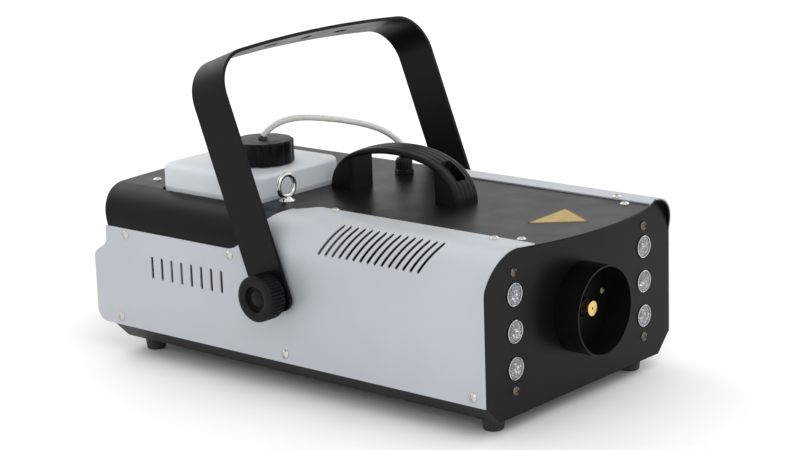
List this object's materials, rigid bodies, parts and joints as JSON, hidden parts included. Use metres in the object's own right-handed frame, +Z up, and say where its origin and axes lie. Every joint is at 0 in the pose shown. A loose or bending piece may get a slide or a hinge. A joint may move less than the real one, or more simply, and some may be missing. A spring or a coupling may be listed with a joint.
{
  "type": "fog machine",
  "caption": "Stage fog machine: silver and black sheet metal body with an outlet tube, side lamps, a fluid tank with a hose, a carrying handle and a tilting yoke.",
  "frame": {"origin": "on the floor, at the middle of the machine's box", "axes": "+Z up; the fog leaves towards -Y and the rear panel faces +Y; the tank is on the -X side"},
  "size_m": [0.312, 0.475, 0.2927],
  "materials": {
    "black_paint": "satin powder coat",
    "silver_paint": "satin silver-grey powder coat",
    "rubber": "matt",
    "plated_screw": "bright zinc plating",
    "dark_screw": "dark nickel plating",
    "brass": "turned brass",
    "cast_aluminium": "as cast",
    "insulation": "mineral wool mat",
    "galvanised": "galvanised",
    "black_plastic": "fine moulded texture",
    "plated_steel": "plated",
    "clear_hose": "translucent silicone",
    "copper": "drawn copper",
    "tank_plastic": "translucent white polyethylene",
    "chrome": "polished",
    "lens": "clear moulded acrylic",
    "circuit_board": "solder mask",
    "display_window": "smoked window",
    "red_plastic": "gloss",
    "label": "printed film"
  },
  "bodies": {
    "chassis": {"base_tray": "black_paint", "front_panel": "black_paint", "rear_panel": "black_paint", "top_shell": "black_paint", "left_cover": "silver_paint", "right_cover": "silver_paint", "feet": "rubber", "cover_screws": "plated_screw", "panel_screws": "dark_screw", "outlet_tube": "black_paint", "nozzle_tip": "brass", "heater_block": "cast_aluminium", "heater_insulation": "insulation", "heater_shield": "galvanised", "heater_brackets": "galvanised", "thermostats": "black_plastic", "pump_bracket": "galvanised", "pump_coil": "black_plastic", "pump_cylinder": "brass", "feed_hose": "clear_hose", "delivery_pipe": "copper", "tank": "tank_plastic", "tank_cradle": "galvanised", "dip_tube": "clear_hose", "suction_filter": "plated_steel", "suction_hose": "clear_hose", "hose_gland": "black_plastic", "gland_nut": "black_plastic", "carry_handle": "black_plastic", "handle_screws": "plated_screw", "eye_bolt": "chrome", "eye_bolt_nut": "plated_steel", "left_stud": "plated_steel", "right_stud": "plated_steel", "yoke_washers": "rubber", "yoke_brackets": "galvanised", "left_lenses": "lens", "right_lenses": "lens", "led_boards": "circuit_board", "control_board": "circuit_board", "control_display": "display_window", "power_inlet": "black_plastic", "power_switch": "black_plastic", "fuse_holder": "black_plastic", "dmx_in_socket": "plated_steel", "dmx_out_socket": "plated_steel", "top_label": "label"},
    "yoke": {"yoke": "black_paint"},
    "left_knob": {"left_knob": "black_plastic"},
    "right_knob": {"right_knob": "black_plastic"},
    "tank_cap": {"tank_cap": "black_plastic"},
    "pump_piston": {"pump_piston": "plated_steel"},
    "menu_button_1": {"menu_button_1": "black_plastic"},
    "menu_button_2": {"menu_button_2": "black_plastic"},
    "menu_button_3": {"menu_button_3": "black_plastic"},
    "menu_button_4": {"menu_button_4": "black_plastic"},
    "switch_rocker": {"switch_rocker": "red_plastic"},
    "fuse_cap": {"fuse_cap": "black_plastic"},
    "dmx_latch": {"dmx_latch": "plated_steel"}
  },
  "joints": [
    {"name": "yoke_tilt", "type": "hinge", "parent": "chassis", "child": "yoke", "pos_m": [0, 0.011, 0.0895], "axis": [1, 0, 0], "range_deg": [-39, 81]},
    {"name": "left_knob_turn", "type": "hinge", "parent": "chassis", "child": "left_knob", "pos_m": [-0.146, 0.011, 0.0895], "axis": [1, 0, 0], "continuous": true},
    {"name": "right_knob_turn", "type": "hinge", "parent": "chassis", "child": "right_knob", "pos_m": [0.146, 0.011, 0.0895], "axis": [1, 0, 0], "continuous": true},
    {"name": "tank_cap_turn", "type": "hinge", "parent": "chassis", "child": "tank_cap", "pos_m": [-0.0485, 0.0975, 0.188], "axis": [0, 0, 1], "continuous": true},
    {"name": "pump_stroke", "type": "slide", "parent": "chassis", "child": "pump_piston", "axis": [0, -1, 0], "range_m": [0, 0.005], "stiffness_N_per_m": 400, "springref_m": -0.001},
    {"name": "menu_button_1_press", "type": "slide", "parent": "chassis", "child": "menu_button_1", "axis": [0, -1, 0], "range_m": [0, 0.0015], "stiffness_N_per_m": 400, "springref_m": -0.0005},
    {"name": "menu_button_2_press", "type": "slide", "parent": "chassis", "child": "menu_button_2", "axis": [0, -1, 0], "range_m": [0, 0.0015], "stiffness_N_per_m": 400, "springref_m": -0.0005},
    {"name": "menu_button_3_press", "type": "slide", "parent": "chassis", "child": "menu_button_3", "axis": [0, -1, 0], "range_m": [0, 0.0015], "stiffness_N_per_m": 400, "springref_m": -0.0005},
    {"name": "menu_button_4_press", "type": "slide", "parent": "chassis", "child": "menu_button_4", "axis": [0, -1, 0], "range_m": [0, 0.0015], "stiffness_N_per_m": 400, "springref_m": -0.0005},
    {"name": "power_switch_rock", "type": "hinge", "parent": "chassis", "child": "switch_rocker", "pos_m": [-0.022, 0.2185, 0.062], "axis": [1, 0, 0], "range_deg": [0, 14]},
    {"name": "fuse_cap_turn", "type": "hinge", "parent": "chassis", "child": "fuse_cap", "pos_m": [-0.104, 0.2185, 0.104], "axis": [0, 1, 0], "range_deg": [0, 90]},
    {"name": "dmx_latch_press", "type": "slide", "parent": "chassis", "child": "dmx_latch", "axis": [0, -1, 0], "range_m": [0, 0.0015], "stiffness_N_per_m": 400, "springref_m": -0.0005}
  ]
}
